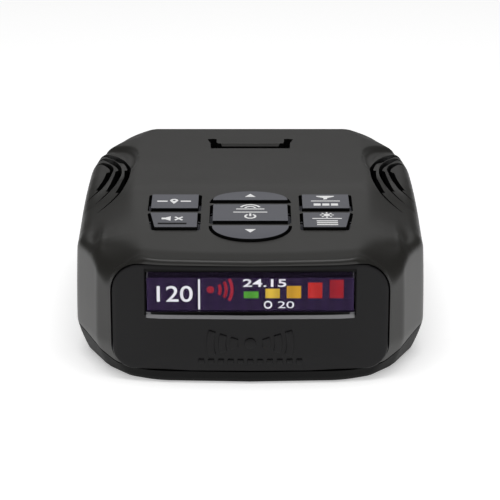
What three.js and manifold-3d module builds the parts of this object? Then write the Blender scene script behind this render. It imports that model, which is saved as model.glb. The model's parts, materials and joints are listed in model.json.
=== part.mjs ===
// A windshield radar detector, in millimetres. +Z is up, the display faces -Y and the antenna end faces +Y.
// The origin is on the surface the unit rests on, under the middle of its box.
// The two housing shells, the front panel and the cavity are all cut from one lofted body, so their walls line up.
import * as THREE from "three";
import { mergeVertices } from "three/addons/utils/BufferGeometryUtils.js";
import Module from "manifold-3d";

const wasm = await Module();
wasm.setup();
const { Manifold, Mesh: SolidMesh } = wasm;

// Driving dimensions.
const HALF_LENGTH = 50; // with the visor and the rear bow, the body is 74.6 x 99.3 x 31.2
const VISOR_REACH = 1.15; // how far the visor's middle stands out beyond the front panel
const VISOR_HALF = 22; // half of the visor's width
const VISOR_RADIUS = 90; // its bow in plan
const WALL = 2;
const PANEL_WALL = 2.6;
const GAP = 0.3; // clearance between neighbouring pieces
const EDGE_ROLL = 2.5; // width of the rounded edge between side walls and top
const FOOT_CHAMFER = 0.8; // the bottom edge
const WALL_LEAN = 0.4; // how far the side walls lean in on their way up
const WALL_MIDDLE_Z = [11, 17]; // the side walls are straight between these heights
const ROLL_SHARES = [0, 0.33, 0.67, 1]; // the rings of the rounded edge
const TOP_SHARES = [0.9, 0.8, 0.66, 0.5, 0.3, 0.1]; // the rings of the top, as shares of its width

// The key plate slopes down towards the driver, and the roof behind the crease is gently crowned.
const PLATE_FRONT_Y = -46;
const PLATE_FRONT_Z = 27.1;
const PLATE_SLOPE = Math.tan(THREE.MathUtils.degToRad(6.5));
const CREASE_Y = -10.5;
const CREASE_Z = PLATE_FRONT_Z + (CREASE_Y - PLATE_FRONT_Y) * PLATE_SLOPE;
const ROOF_REAR_Z = 30;
const VISOR_Z = 26.2; // the sharp edge over the front panel

// Half of the plan outline, from the middle of the front to the middle of the back: [x, y].
const OUTLINE = [
  [0, -49.3], [10, -49.15], [20, -48.5], [26.6, -46.9], [29.6, -44.4], [32.4, -39.8],
  [36, -32.2], [37.1, -26], [37.2, -12], [37.2, 4], [37.2, 18], [36.4, 31],
  [33.2, 40.8], [28.8, 47], [23.5, 49.7], [12, 49.9], [0, 49.9],
];
// The same, where the lower housing meets the table: it tucks in under the front corners.
const FOOT = [
  [0, -48.9], [10, -48.6], [19, -47.4], [24, -45.4], [27.6, -42.3], [30.8, -37.4],
  [33.4, -31.4], [34.8, -25.4], [35, -12], [35, 4], [35, 18], [34.2, 30.4],
  [31, 39.4], [27, 45], [22, 47.4], [11.4, 47.8], [0, 47.8],
];
// Tables of [y, value] along the body.
const EDGE_HEIGHT = [
  [-50, 26.2], [-47.8, 26.1], [-45.2, 24.8], [-41, 24.4], [-30, 24.9], [-13, 25],
  [-6, 26.2], [1, 26.9], [20, 27.4], [32, 27.3], [41, 28.1], [46, 29], [50, 29.8],
];
const PLATE_HALF_WIDTH = [[-50, 20.4], [-36, 22.8], [-14, 24.6], [10, 25.2], [38, 25], [50, 22]];
const SEAM_HEIGHT = [[-60, 2.6], [-48, 2.65], [-45, 3.2], [-41, 5.1], [-35, 6.3], [-29, 6.9], [-10, 7.4], [60, 7.6]];

const materials = {
  housing: new THREE.MeshStandardMaterial({ color: 0x3d3c3a, roughness: 0.5, metalness: 0 }),
  panel: new THREE.MeshStandardMaterial({ color: 0x1d1c1e, roughness: 0.35, metalness: 0 }),
  window: new THREE.MeshStandardMaterial({ color: 0x0c0b10, roughness: 0.08, metalness: 0 }),
  key: new THREE.MeshStandardMaterial({ color: 0x4a4b4f, roughness: 0.55, metalness: 0 }),
  board: new THREE.MeshStandardMaterial({ color: 0x1c5a36, roughness: 0.5, metalness: 0 }),
  zinc: new THREE.MeshStandardMaterial({ color: 0xa9abad, roughness: 0.4, metalness: 1 }),
  steel: new THREE.MeshStandardMaterial({ color: 0xb8babc, roughness: 0.3, metalness: 1 }),
  black_plastic: new THREE.MeshStandardMaterial({ color: 0x141414, roughness: 0.6, metalness: 0 }),
  display: new THREE.MeshStandardMaterial({ color: 0x241f33, roughness: 0.15, metalness: 0 }),
  flex: new THREE.MeshStandardMaterial({ color: 0xa8621c, roughness: 0.45, metalness: 0 }),
  ceramic: new THREE.MeshStandardMaterial({ color: 0xd9d3c4, roughness: 0.6, metalness: 0 }),
  laser_glass: new THREE.MeshStandardMaterial({ color: 0x2a0507, roughness: 0.1, metalness: 0 }),
  foam: new THREE.MeshStandardMaterial({ color: 0x222222, roughness: 0.95, metalness: 0 }),
  label: new THREE.MeshStandardMaterial({ color: 0xc9cbcd, roughness: 0.45, metalness: 0 }),
};

const unit = new THREE.Group();

// ---------- solids ----------

function toSolid(geometry) {
  const bare = geometry.index ? geometry.toNonIndexed() : geometry.clone();
  bare.deleteAttribute("normal");
  bare.deleteAttribute("uv");
  const merged = mergeVertices(bare, 1e-4);
  return new Manifold(new SolidMesh({
    numProp: 3,
    vertProperties: new Float32Array(merged.attributes.position.array),
    triVerts: new Uint32Array(merged.index.array),
  }));
}

function addPiece(name, solid, material, parent = unit) {
  const { vertProperties, triVerts } = solid.getMesh();
  const geometry = new THREE.BufferGeometry();
  geometry.setAttribute("position", new THREE.BufferAttribute(new Float32Array(vertProperties), 3));
  geometry.setIndex(new THREE.BufferAttribute(new Uint32Array(triVerts), 1));
  geometry.computeVertexNormals();
  const mesh = new THREE.Mesh(geometry, material);
  mesh.name = name;
  parent.add(mesh);
  return mesh;
}

// A box by its low and high corners.
function block(x0, x1, y0, y1, z0, z1) {
  const geometry = new THREE.BoxGeometry(x1 - x0, y1 - y0, z1 - z0);
  return toSolid(geometry.translate((x0 + x1) / 2, (y0 + y1) / 2, (z0 + z1) / 2));
}

// An upright cylinder from z0 to z1.
function post(x, y, radius, z0, z1, sides = 20) {
  const geometry = new THREE.CylinderGeometry(radius, radius, z1 - z0, sides);
  return toSolid(geometry.rotateX(Math.PI / 2).translate(x, y, (z0 + z1) / 2));
}

// A cylinder along X ("x") or Y ("y"), from a to b.
function rod(axis, radius, a, b, across, z, sides = 20) {
  const geometry = new THREE.CylinderGeometry(radius, radius, b - a, sides);
  if (axis === "x") {
    geometry.rotateZ(Math.PI / 2).translate((a + b) / 2, across, z);
  } else {
    geometry.translate(across, (a + b) / 2, z);
  }
  return toSolid(geometry);
}

// A flat outline extruded upwards from z0 to z1.
function slab(shape, z0, z1, curveSegments = 8) {
  const geometry = new THREE.ExtrudeGeometry(shape, { depth: z1 - z0, bevelEnabled: false, curveSegments });
  return toSolid(geometry.translate(0, 0, z0));
}

// An outline drawn in X and Z, extruded along Y from y0 to y1.
function wallSlab(shape, y0, y1, curveSegments = 8) {
  const geometry = new THREE.ExtrudeGeometry(shape, { depth: y1 - y0, bevelEnabled: false, curveSegments });
  return toSolid(geometry.rotateX(Math.PI / 2).translate(0, y1, 0));
}

function roundedRect(x0, x1, y0, y1, radius) {
  const shape = new THREE.Shape();
  shape.moveTo(x0 + radius, y0);
  shape.lineTo(x1 - radius, y0);
  shape.absarc(x1 - radius, y0 + radius, radius, -Math.PI / 2, 0, false);
  shape.absarc(x1 - radius, y1 - radius, radius, 0, Math.PI / 2, false);
  shape.absarc(x0 + radius, y1 - radius, radius, Math.PI / 2, Math.PI, false);
  shape.absarc(x0 + radius, y0 + radius, radius, Math.PI, Math.PI * 1.5, false);
  return shape;
}

// ---------- the body's surface ----------

const OUTER_STEPS = 30; // steps along each half of the outside
const INNER_STEPS = 20; // and of the cavity

function lookUp(table, y) {
  const last = table.length - 1;
  if (y <= table[0][0]) return table[0][1];
  if (y >= table[last][0]) return table[last][1];
  const i = table.findIndex(([at]) => at >= y);
  const [y0, v0] = table[i - 1];
  const [y1, v1] = table[i];
  return v0 + ((v1 - v0) * (y - y0)) / (y1 - y0);
}

function smoothStep(low, high, value) {
  return THREE.MathUtils.smoothstep(value, low, high);
}

// The lower of two heights, with the join between them rounded over a height of about softness.
function softMin(a, b, softness) {
  const h = Math.max(softness - Math.abs(a - b), 0) / softness;
  return Math.min(a, b) - (h * h * softness) / 4;
}

function halfWidthAt(y) {
  const i = Math.max(1, OUTLINE.findIndex(([, at]) => at >= Math.min(y, HALF_LENGTH - 0.01)));
  const [x0, y0] = OUTLINE[i - 1];
  const [x1, y1] = OUTLINE[i];
  return x0 + ((x1 - x0) * (y - y0)) / (y1 - y0);
}

function plateHeight(y) {
  const onPlate = PLATE_FRONT_Z + (y - PLATE_FRONT_Y) * PLATE_SLOPE;
  const along = Math.max(0, (y - CREASE_Y) / (HALF_LENGTH - CREASE_Y));
  const onRoof = CREASE_Z + 0.3 * along - (CREASE_Z + 0.3 - ROOF_REAR_Z) * along * along;
  return y < CREASE_Y ? onPlate : onRoof;
}

// The height of the top surface. Outside the plate's edges the shoulders fall to the side walls, with a thumb scoop at
// the front corners and a sunken grille at the rear ones.
function topHeight(x, y) {
  const out = Math.abs(x);
  const plate = plateHeight(y);
  const plateEdge = lookUp(PLATE_HALF_WIDTH, y);
  const width = Math.max(halfWidthAt(y), plateEdge + 1);
  const across = THREE.MathUtils.clamp((out - plateEdge) / (width - plateEdge), 0, 1);
  const shoulder = plate + (lookUp(EDGE_HEIGHT, y) - plate) * across;
  const frontFace = -HALF_LENGTH + (out * out) / (2 * VISOR_RADIUS);
  const visor = VISOR_Z + 0.3 * (y - frontFace);
  const scoop = 1.5 * Math.exp(-(((across - 0.52) / 0.3) ** 2)) * smoothStep(-47, -41, y) * (1 - smoothStep(-30, -12, y));
  const grille = Math.hypot((out - 39.5) / 14, (y - 19) / 27);
  const wall = y > 19 ? 0.14 : 0.45;
  const sunk = 1.3 * (1 - smoothStep(1 - wall, 1, grille)) * (1 - 0.7 * across);
  return softMin(shoulder, visor, 0.4) - scoop - sunk;
}

// Points round the body, inset from the plan outline. foot blends towards the narrower outline at the table.
function plan(inset, foot, steps) {
  const blend = OUTLINE.map(([x, y], i) => new THREE.Vector3(
    x + (FOOT[i][0] - x) * foot, y + (FOOT[i][1] - y) * foot, 0));
  const left = blend.slice(1, -1).reverse().map((p) => new THREE.Vector3(-p.x, p.y, 0));
  const curve = new THREE.CatmullRomCurve3([...blend, ...left], true, "centripetal");
  const count = 2 * steps;
  return Array.from({ length: count }, (_, i) => {
    const at = curve.getPointAt(i / count);
    const along = curve.getTangentAt(i / count);
    return new THREE.Vector3(at.x - along.y * inset, at.y + along.x * inset, 0);
  });
}

// A closed solid through rings of points, with a fan at each end.
function loft(rings) {
  const count = rings[0].length;
  const positions = rings.flatMap((ring) => ring.flatMap((p) => [p.x, p.y, p.z]));
  const triangles = [];
  for (let r = 0; r + 1 < rings.length; r++) {
    for (let i = 0; i < count; i++) {
      const j = (i + 1) % count;
      const [a, b, c, d] = [r * count + i, r * count + j, (r + 1) * count + j, (r + 1) * count + i];
      triangles.push(a, b, c, a, c, d);
    }
  }
  const middleOf = (ring) => ring.reduce((sum, p) => sum.add(p), new THREE.Vector3()).divideScalar(count);
  const bottom = rings.length * count;
  const first = middleOf(rings[0]);
  const last = middleOf(rings[rings.length - 1]);
  positions.push(first.x, first.y, first.z, last.x, last.y, last.z);
  const topStart = (rings.length - 1) * count;
  for (let i = 0; i < count; i++) {
    const j = (i + 1) % count;
    triangles.push(bottom, j, i, bottom + 1, topStart + i, topStart + j);
  }
  const geometry = new THREE.BufferGeometry();
  geometry.setAttribute("position", new THREE.Float32BufferAttribute(positions, 3));
  geometry.setIndex(triangles);
  return toSolid(geometry);
}

// The whole body, or the same body shrunk by inset on every side.
function body(inset, steps = INNER_STEPS) {
  const rings = [];
  const level = (ringInset, foot, height) => {
    const points = plan(inset + ringInset, foot, steps);
    points.forEach((p) => { p.z = typeof height === "number" ? height : height(p); });
    rings.push(points);
  };
  level(FOOT_CHAMFER, 1, inset);
  level(0, 1, inset + FOOT_CHAMFER);
  level(0.25, 0.12, (p) => Math.max(lookUp(SEAM_HEIGHT, p.y), inset + 1.5 * FOOT_CHAMFER));
  level(0, 0, WALL_MIDDLE_Z[0]);
  level(WALL_LEAN / 4, 0, WALL_MIDDLE_Z[1]);
  const inner = plan(inset + WALL_LEAN + EDGE_ROLL, 0, steps);
  const edge = plan(0, 0, steps);
  const corner = edge.map((p) => topHeight(p.x, p.y) - inset);
  const landing = inner.map((p) => topHeight(p.x, p.y) - inset);
  for (const t of ROLL_SHARES) {
    const ring = plan(inset + WALL_LEAN + EDGE_ROLL * t * t, 0, steps);
    ring.forEach((p, i) => {
      const start = corner[i] - EDGE_ROLL;
      const bow = Math.max(0, 1 - (p.x / VISOR_HALF) ** 2);
      if (t < 1 && p.y < -40) p.y -= VISOR_REACH * bow;
      p.z = (1 - t) ** 2 * start + 2 * t * (1 - t) * corner[i] + t * t * landing[i];
    });
    rings.push(ring);
  }
  for (const share of TOP_SHARES) {
    rings.push(inner.map((p) => {
      const point = p.clone().multiplyScalar(share);
      point.z = topHeight(point.x, point.y) - inset;
      return point;
    }));
  }
  return loft(rings);
}

// Everything above, or below, the seam between the housings, which rises from the front towards the sides.
function seamSide(above, gap) {
  const shape = new THREE.Shape();
  const far = above ? 60 : -20;
  const start = SEAM_HEIGHT[0];
  shape.moveTo(start[0], start[1] + gap);
  SEAM_HEIGHT.slice(1).forEach(([y, z]) => shape.lineTo(y, z + gap));
  shape.lineTo(60, far);
  shape.lineTo(-60, far);
  const geometry = new THREE.ExtrudeGeometry(shape, { depth: 100, bevelEnabled: false });
  geometry.rotateY(Math.PI / 2).rotateX(Math.PI / 2).translate(-50, 0, 0);
  return toSolid(geometry);
}

// ---------- housing ----------

// Where the three sockets' noses show in the left side wall.
const POWER_Y = [-1.6, 9.6];
const POWER_Z = [9.9, 17.5];
const USB_Y = [-17.7, -10.3];
const USB_Z = [9.4, 11.8];
const AUDIO_Y = 17;
const AUDIO_Z = 11.2;
const AUDIO_RADIUS = 2.6;

const PANEL_HALF = 28.4;
const PANEL_LOW = 3;
const PANEL_HIGH = 25.2;
const WINDOW_HALF = 22.2;
const WINDOW_LOW = 14.6;
const WINDOW_HIGH = 24.2;
const WINDOW_FACE_Y = -47.6;

// The panel's outline, drawn in X and Z: tighter corners below than above.
function panelOutline(grow) {
  const [high, low, upperRadius, lowerRadius] = [PANEL_HIGH + grow, PANEL_LOW - grow, 6.5 + grow, 4.5 + grow];
  const half = PANEL_HALF + grow;
  const shape = new THREE.Shape();
  shape.moveTo(-half + lowerRadius, low);
  shape.lineTo(half - lowerRadius, low);
  shape.absarc(half - lowerRadius, low + lowerRadius, lowerRadius, -Math.PI / 2, 0, false);
  shape.absarc(half - upperRadius, high - upperRadius, upperRadius, 0, Math.PI / 2, false);
  shape.absarc(-half + upperRadius, high - upperRadius, upperRadius, Math.PI / 2, Math.PI, false);
  shape.absarc(-half + lowerRadius, low + lowerRadius, lowerRadius, Math.PI, Math.PI * 1.5, false);
  return shape;
}

// The screws that close the case, and the bosses that they go into: [x, y].
const CASE_SCREWS = [[-28, -29], [28, -29], [-26, 36], [26, 36]];
const BOSS_RADIUS = 3;
const BOSS_LOW = 8.5;

// The seven keys. Each opening is given on the plate: x, and s up the slope from the plate's front edge.
const SIDE_INNER = 10.4;
const SIDE_OUTER = 21.8;
const KEY_GAP = 0.7;
const FLANGE = 0.3;

// A side key's opening, whose front outer corner is drawn in by taper. side is -1 on the left and 1 on the right.
function sideKey(side, s0, s1, taper, grow) {
  const [near, far] = [side * (SIDE_INNER - grow), side * (SIDE_OUTER + grow)];
  const shape = new THREE.Shape();
  const points = [[near, s0 - grow], [far - side * taper, s0 - grow], [far, s1 + grow], [near, s1 + grow]];
  shape.setFromPoints((side > 0 ? points : points.reverse()).map(([x, s]) => new THREE.Vector2(x, s)));
  return shape;
}

// The lens-shaped arrow keys: a straight edge at s0 and an arc that reaches s1.
function arrowKey(s0, s1, grow) {
  const halfWidth = 8.7 + grow;
  const rise = s1 - s0;
  const direction = Math.sign(rise);
  const [base, peak] = [s0 - direction * grow, s1 + direction * grow];
  const shape = new THREE.Shape();
  const steps = 12;
  shape.moveTo(halfWidth, base);
  for (let i = 1; i < steps; i++) {
    const across = Math.cos((Math.PI * i) / steps);
    shape.lineTo(halfWidth * across, base + (peak - base) * Math.sqrt(1 - across * across) ** 0.9);
  }
  shape.lineTo(-halfWidth, base);
  return shape;
}

const keys = {
  key_mark: { outline: (grow) => sideKey(-1, 21.6, 30.8, 0, grow), middle: [-16.1, 26.2] },
  key_mute: { outline: (grow) => sideKey(-1, 11.3, 20.6, 1.2, grow), middle: [-16.1, 16] },
  key_up: { outline: (grow) => arrowKey(26.2, 32.6, grow), middle: [0, 28.6] },
  key_power: { outline: (grow) => roundedRect(-8.6 - grow, 8.6 + grow, 14.7 - grow, 25.2 + grow, 0.6), middle: [0, 20] },
  key_down: { outline: (grow) => arrowKey(13.7, 5.1, grow), middle: [0, 10.4] },
  key_filter: { outline: (grow) => sideKey(1, 21.6, 30.8, 0, grow), middle: [16.1, 26.2] },
  key_menu: { outline: (grow) => sideKey(1, 11.3, 20.6, 1.2, grow), middle: [16.1, 16] },
};

// Everything on the key plate is made lying flat and then tilted with it. w is height above the plate.
const PLATE_ANGLE = THREE.MathUtils.radToDeg(Math.atan(PLATE_SLOPE));

function onPlate(solid) {
  return solid.rotate([PLATE_ANGLE, 0, 0]).translate([0, PLATE_FRONT_Y, PLATE_FRONT_Z]);
}

// The three curved slots of each sound grille, nested towards the side wall, as points down their middles: [x, y].
const GRILLE_SLOTS = [
  [[27.8, 8.4], [27.5, -0.2], [27.9, -5], [28.8, -10.6]],
  [[29.9, 8.6], [29.9, 5.9], [30.3, 0.2], [31.1, -6.2]],
  [[32.1, 9.5], [32.1, 6.9], [32.7, 1.7], [33.6, -2.4]],
];
const GRILLE_SLOT_HALF = 0.6;

function grilleSlots(side) {
  return GRILLE_SLOTS.map((middle) => {
    const outer = middle.map(([x, y]) => new THREE.Vector2(side * (x + GRILLE_SLOT_HALF), y));
    const inner = middle.map(([x, y]) => new THREE.Vector2(side * (x - GRILLE_SLOT_HALF), y));
    const shape = new THREE.Shape([...outer, ...inner.reverse()]);
    return slab(shape, 16, 40);
  });
}

// The bracket slot in the roof: a bar across with two short arms back, round a tongue.
const SLOT_HALF = 10;
const TONGUE_HALF = 8;
const SLOT_FRONT_Y = 24.7;
const TONGUE_Y = 29.1;
const SLOT_BACK_Y = 35.2;
function makeHousings() {
  const outer = body(0, OUTER_STEPS);
  const cavity = body(WALL);
  let upper = outer.intersect(seamSide(true, GAP / 2)).subtract(cavity);
  let lower = outer.intersect(seamSide(false, -GAP / 2)).subtract(cavity);
  const cut = (...cutters) => cutters.forEach((cutter) => { upper = upper.subtract(cutter); });

  cut(wallSlab(panelOutline(GAP), -60, -40));
  Object.values(keys).forEach(({ outline }) => cut(onPlate(slab(outline(0), -6, 6, 3))));
  cut(onPlate(block(-22.4, 22.4, 4.4, 33.2, -9, -2.3)));
  cut(...grilleSlots(-1), ...grilleSlots(1));
  cut(block(-SLOT_HALF, SLOT_HALF, SLOT_FRONT_Y, TONGUE_Y, 20, 40));
  cut(block(-SLOT_HALF, -TONGUE_HALF, TONGUE_Y - 1, SLOT_BACK_Y, 20, 40));
  cut(block(TONGUE_HALF, SLOT_HALF, TONGUE_Y - 1, SLOT_BACK_Y, 20, 40));
  cut(block(LENS_LOW_X, LENS_HIGH_X, 44, 60, LENS_LOW_Z, LENS_HIGH_Z));
  cut(block(-45, -30, POWER_Y[0] - GAP, POWER_Y[1] + GAP, POWER_Z[0] - GAP, POWER_Z[1] + GAP));
  cut(block(-45, -30, USB_Y[0] - GAP, USB_Y[1] + GAP, USB_Z[0] - GAP, USB_Z[1] + GAP));
  cut(rod("x", AUDIO_RADIUS + GAP, -45, -30, AUDIO_Y, AUDIO_Z));

  for (const [x, y] of CASE_SCREWS) {
    const boss = post(x, y, BOSS_RADIUS, BOSS_LOW, 32).intersect(body(WALL / 2));
    upper = upper.add(boss).subtract(post(x, y, 1.45, BOSS_LOW - 1, 18, 12));
    lower = lower.add(post(x, y, BOSS_RADIUS, 1, BOSS_LOW - GAP));
    lower = lower.subtract(post(x, y, 1.7, -1, BOSS_LOW, 12)).subtract(post(x, y, 2.8, -1, 2.2, 16));
  }
  for (const [x, s] of KEY_BOARD_SCREWS) {
    const stud = onPlate(post(x, s, 1.7, -6.1, -1, 12));
    upper = upper.add(stud).subtract(onPlate(post(x, s, 1.1, -7, -2.4, 10)));
  }
  for (const [x, y] of BOARD_SCREWS) {
    lower = lower.add(post(x, y, 2.4, 1, BOARD_LOW - GAP)).subtract(post(x, y, 1.3, 2.4, 12, 10));
  }
  lower = lower.subtract(wallSlab(panelOutline(GAP), -60, -40));
  lower = lower.subtract(block(-LABEL_HALF_X, LABEL_HALF_X, LABEL_Y[0], LABEL_Y[1], -1, 0.5));
  addPiece("upper_housing", upper, materials.housing);
  addPiece("lower_housing", lower, materials.black_plastic);

  const behind = loft([-5, 40].map((z) => plan(PANEL_WALL, 0.1, INNER_STEPS).map((p) => p.setZ(z))));
  const panelBody = outer.intersect(wallSlab(panelOutline(0), -60, -40)).subtract(behind);
  const recess = wallSlab(roundedRect(-WINDOW_HALF, WINDOW_HALF, WINDOW_LOW, WINDOW_HIGH, 0.5), -60, WINDOW_FACE_Y);
  const frame = WINDOW_HALF - 0.9;
  const opening = wallSlab(roundedRect(-frame, frame, WINDOW_LOW + 0.7, WINDOW_HIGH - 0.7, 0.4), -60, -40);
  addPiece("front_panel", panelBody.subtract(recess).subtract(opening), materials.panel);
}

// ---------- display ----------

function makeDisplay() {
  const half = WINDOW_HALF - 0.9 - GAP;
  const [low, high] = [WINDOW_LOW + 0.7 + GAP, WINDOW_HIGH - 0.7 - GAP];
  const pane = wallSlab(roundedRect(-half, half, low, high, 0.4), WINDOW_FACE_Y, WINDOW_FACE_Y + 1.2);
  addPiece("display_window", pane, materials.window);

  // The module stands behind the window, clear of the panel's curved inner face.
  addPiece("display_module", block(-23.4, 23.4, -44.3, -42.8, 12.6, 25), materials.display);
  const back = block(-25, 25, -42.5, -41.3, 10.4, 22.6);
  const feet = [-22, 22].map((x) => block(x - 1.5, x + 1.5, -42.5, -38.4, 6.5, 7.7));
  const legs = [-22, 22].map((x) => block(x - 1.5, x + 1.5, -42.5, -41.3, 6.5, 11));
  const bracket = [...feet, ...legs].reduce((sum, piece) => sum.add(piece), back);
  addPiece("display_bracket", bracket, materials.steel);
  const drop = block(-5, 5, -43.7, -43.4, 8.9, 12.3);
  addPiece("display_flex", drop.add(block(-5, 5, -43.7, -34, 8.9, 9.2)), materials.flex);
}

// ---------- keys ----------

const KEY_PROUD = 0.4;
const KEY_TRAVEL = 0.5;
const KEY_BOARD_TOP = -6.4;
const KEY_BOARD_SCREWS = [[-19, 33.4], [19, 33.4]];

function makeKeys() {
  for (const [name, { outline, middle: [x, s] }] of Object.entries(keys)) {
    const label = name.replace("key_", "");
    const cap = slab(outline(-KEY_GAP), -3, KEY_PROUD, 3);
    const flange = slab(outline(FLANGE), -3.4, -2.6, 3);
    addPiece(name, onPlate(cap.add(flange)), materials.key);
    addPiece(`plunger_${label}`, onPlate(post(x, s, 0.8, -5.5, -3.7, 12)), materials.black_plastic);
    const well = post(x, s, 1.15, KEY_BOARD_TOP - 1, 0, 12);
    const base = slab(roundedRect(x - 2.6, x + 2.6, s - 2, s + 2, 0.4), KEY_BOARD_TOP + GAP, -4.5, 2);
    addPiece(`switch_${label}`, onPlate(base.subtract(well)), materials.steel);
  }
  let board = slab(roundedRect(-24.2, 24.2, 4.5, 36, 2), KEY_BOARD_TOP - 1.2, KEY_BOARD_TOP, 3);
  for (const [x, s] of KEY_BOARD_SCREWS) {
    board = board.subtract(post(x, s, 1.1, -9, -5, 12));
    const side = x < 0 ? "left" : "right";
    const screw = post(x, s, 0.8, -9, -3, 12).add(post(x, s, 1.6, -9, -7.9, 12));
    addPiece(`key_board_screw_${side}`, onPlate(screw), materials.steel);
  }
  addPiece("key_board", onPlate(board), materials.board);
  addPiece("key_ribbon", block(9, 17, -21, -20.7, 8.3, 20.8), materials.flex);
}

// ---------- main board ----------

const BOARD_LOW = 4.6;
const BOARD_TOP = BOARD_LOW + 1.6;
const BOARD_SCREWS = [[-17, -33], [17, -33], [-27, 26], [27, 26]];

function makeMainBoard() {
  let board = slab(roundedRect(-30, 30, -36, 38, 8), BOARD_LOW, BOARD_TOP, 3);
  CASE_SCREWS.forEach(([x, y]) => { board = board.subtract(post(x, y, BOSS_RADIUS + 0.5, 0, 10)); });
  BOARD_SCREWS.forEach(([x, y], i) => {
    board = board.subtract(post(x, y, 1.3, 0, 10, 12));
    const screw = post(x, y, 1, 2.8, BOARD_TOP + 1.5, 12).add(post(x, y, 2, BOARD_TOP + GAP, BOARD_TOP + 1.5, 14));
    addPiece(`board_screw_${i + 1}`, screw, materials.steel);
  });
  addPiece("main_board", board, materials.board);
  const low = BOARD_TOP + GAP;
  const can = block(2, 20, -13, 5, low, low + 3).subtract(block(2.5, 19.5, -12.5, 4.5, low - 1, low + 2.5));
  addPiece("processor_shield", can, materials.steel);
  CASE_SCREWS.forEach(([x, y], i) => {
    const screw = post(x, y, 1.2, 0.6, 16, 12).add(post(x, y, 2.4, 0.6, 1.9, 16));
    addPiece(`case_screw_${i + 1}`, screw, materials.steel);
  });
}

// ---------- sensors, antennas and speaker ----------

const LENS_LOW_X = 9;
const LENS_HIGH_X = 21;
const LENS_LOW_Z = 10.5;
const LENS_HIGH_Z = 20;

// A flared box in plan: half widths at the back (y0) and at the mouth (y1).
function flare(x, y0, half0, y1, half1, z0, z1) {
  const shape = new THREE.Shape();
  const points = [[x - half0, y0], [x + half0, y0], [x + half1, y1], [x - half1, y1]];
  shape.setFromPoints(points.map(([px, py]) => new THREE.Vector2(px, py)));
  return slab(shape, z0, z1);
}

function makeFrontEnd() {
  const x = -9;
  let horn = flare(x, 18, 6, 46, 14, 9, 21).subtract(flare(x, 19.5, 4.6, 47, 13.2, 10, 20));
  horn = horn.add(block(x - 10, x + 10, -6, 18.5, 9, 11));
  for (const [footX, footY] of [[x - 7, -3], [x + 7, -3], [x - 4, 30], [x + 4, 30]]) {
    horn = horn.add(post(footX, footY, 1.8, BOARD_TOP + GAP, 9.5, 12));
  }
  addPiece("horn_antenna", horn, materials.zinc);
  addPiece("microwave_board", block(x - 9.5, x + 9.5, -5.5, 17.5, 11.3, 12.3), materials.board);
  const can = block(x - 8.5, x + 8.5, -4.5, 16.5, 12.6, 17).subtract(block(x - 8, x + 8, -4, 16, 12, 16.5));
  addPiece("microwave_shield", can, materials.steel);
  addPiece("gps_antenna", block(x - 7.5, x + 7.5, -1.5, 13.5, 17.3, 21.3), materials.ceramic);

  const lensNose = block(LENS_LOW_X + GAP, LENS_HIGH_X - GAP, 46.5, 49.6, LENS_LOW_Z + GAP, LENS_HIGH_Z - GAP);
  const lensFlange = block(LENS_LOW_X - 1, LENS_HIGH_X + 1, 45.9, 47.2, LENS_LOW_Z - 1, LENS_HIGH_Z + 1);
  addPiece("laser_lens", lensNose.add(lensFlange), materials.laser_glass);
  addPiece("laser_sensor", block(11, 19, 40, 45, BOARD_TOP + GAP, 19), materials.black_plastic);

  const [sx, sy] = [20.5, 9];
  const basket = post(sx, sy, 9, 15, 18.6, 32).add(post(sx, sy, 4.5, 11.5, 16, 20));
  addPiece("speaker", basket, materials.black_plastic);
  const ring = post(sx, sy, 9, 18.9, 20.4, 32).subtract(post(sx, sy, 7.4, 18, 22, 32));
  addPiece("speaker_gasket", ring, materials.foam);
}

// ---------- sockets on the left side ----------

const SOCKET_FACE_X = -36.4;

function makeSockets() {
  const low = BOARD_TOP + GAP;
  const nose = ([y0, y1], [z0, z1]) => block(SOCKET_FACE_X, -32, y0, y1, z0, z1);
  const modular = block(-33, -22, -3, 11, low, 18.6).add(nose(POWER_Y, POWER_Z));
  addPiece("power_socket", modular.subtract(block(-40, -24, 0, 8, 10.9, 16.5)), materials.black_plastic);
  const usb = block(-33, -27, -18, -10, low, 12.4).add(nose(USB_Y, USB_Z));
  addPiece("usb_socket", usb.subtract(block(-40, -30, -17.2, -10.8, 9.9, 11.3)), materials.steel);
  const audio = block(-33, -24, 14, 20, low, 14.2).add(rod("x", AUDIO_RADIUS, -36, -32, AUDIO_Y, AUDIO_Z));
  addPiece("audio_socket", audio.subtract(rod("x", 1.8, -40, -26, AUDIO_Y, AUDIO_Z, 16)), materials.black_plastic);
}

// ---------- bracket socket under the roof ----------

function makeBracketSocket() {
  const [low, high] = [24.6, 28.2];
  const [front, back] = [SLOT_FRONT_Y - GAP, SLOT_BACK_Y + 0.5];
  const hollow = block(-SLOT_HALF - GAP, SLOT_HALF + GAP, front, back, low + 1, 30);
  const shell = block(-12, 12, front - 1.3, back + 1.3, low, high).subtract(hollow);
  addPiece("bracket_socket", shell, materials.steel);
  const leaf = block(-4, 4, back - 4, back - GAP, low + 1.3, low + 1.7);
  const stop = block(-4, 4, back - 0.7, back - GAP, low + 1.3, high - 0.6);
  addPiece("bracket_spring", leaf.add(stop), materials.steel);
}

// ---------- rating label ----------

const LABEL_HALF_X = 16;
const LABEL_Y = [-8, 12];

function makeLabel() {
  const label = block(-LABEL_HALF_X + 0.3, LABEL_HALF_X - 0.3, LABEL_Y[0] + 0.3, LABEL_Y[1] - 0.3, 0.05, 0.2);
  addPiece("rating_label", label, materials.label);
}

makeHousings();
makeDisplay();
makeKeys();
makeMainBoard();
makeFrontEnd();
makeSockets();
makeBracketSocket();
makeLabel();

export default unit;
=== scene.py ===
import json
import math

import bpy
import numpy as np
from mathutils import Matrix, Vector


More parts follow.
